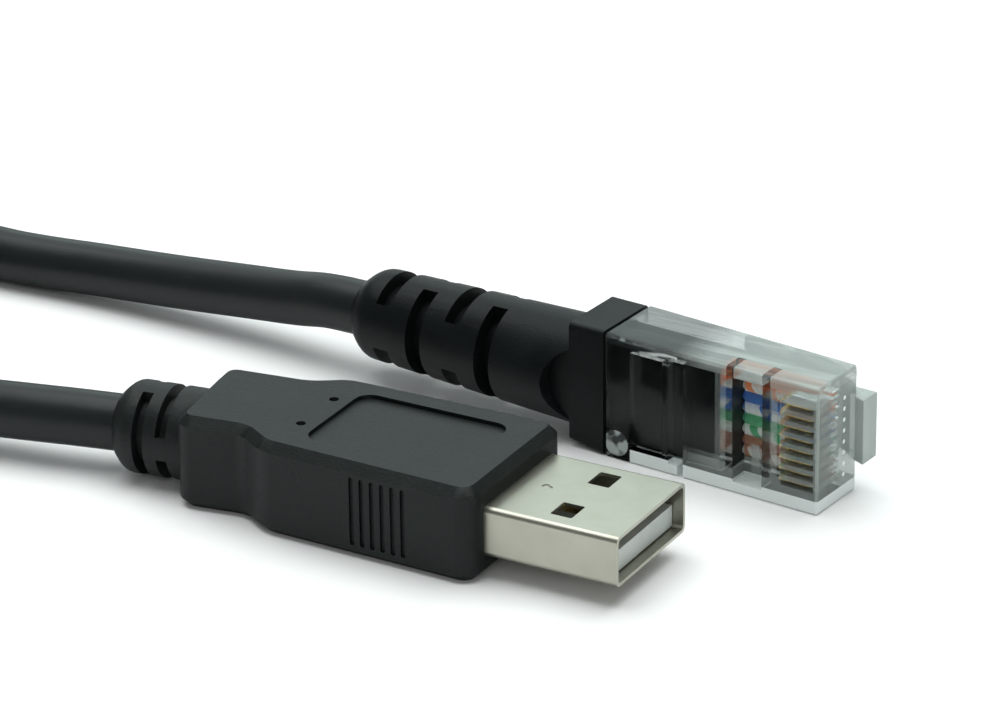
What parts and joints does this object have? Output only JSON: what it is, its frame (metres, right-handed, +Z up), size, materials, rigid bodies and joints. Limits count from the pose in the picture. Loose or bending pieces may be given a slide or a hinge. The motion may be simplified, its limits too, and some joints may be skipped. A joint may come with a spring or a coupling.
{
  "type": "programming cable",
  "caption": "Round black cable with a flat metal-shelled plug on one end and a clear modular plug with a slotted boot on the other, its slack wound in a tied coil.",
  "frame": {"origin": "on the floor under the middle of the two plugs, the cord left out", "axes": "+X along the flat plug towards its tip, +Z up; the modular plug stands on its narrow side on the +Y side"},
  "size_m": [0.1584, 0.065, 0.0118],
  "materials": {
    "grip_black": "satin moulded PVC",
    "boot_black": "satin moulded PVC",
    "cord_black": "smooth PVC jacket",
    "tie_black": "hook and loop strap",
    "shell_steel": "nickel plated",
    "insulator_white": "moulded",
    "contact_gold": "gold plated",
    "housing_clear": "clear polycarbonate",
    "wire_orange": "insulated wire",
    "wire_white": "insulated wire",
    "wire_blue": "insulated wire",
    "wire_green": "insulated wire",
    "wire_brown": "insulated wire"
  },
  "bodies": {
    "root": {"usb_overmould": "grip_black", "usb_shell": "shell_steel", "usb_insulator": "insulator_white", "usb_contact_1": "contact_gold", "usb_contact_2": "contact_gold", "usb_contact_3": "contact_gold", "usb_contact_4": "contact_gold", "rj45_boot": "boot_black", "rj45_housing": "housing_clear", "rj45_contact_1": "contact_gold", "rj45_contact_2": "contact_gold", "rj45_contact_3": "contact_gold", "rj45_contact_4": "contact_gold", "rj45_contact_5": "contact_gold", "rj45_contact_6": "contact_gold", "rj45_contact_7": "contact_gold", "rj45_contact_8": "contact_gold", "rj45_wire_1": "wire_orange", "rj45_wire_2": "wire_white", "rj45_wire_3": "wire_blue", "rj45_wire_4": "wire_white", "rj45_wire_5": "wire_green", "rj45_wire_6": "wire_white", "rj45_wire_7": "wire_brown", "rj45_wire_8": "wire_white", "cord_usb_run": "cord_black", "cord_rj45_run": "cord_black", "cord_coil": "cord_black", "coil_tie": "tie_black"}
  },
  "joints": []
}
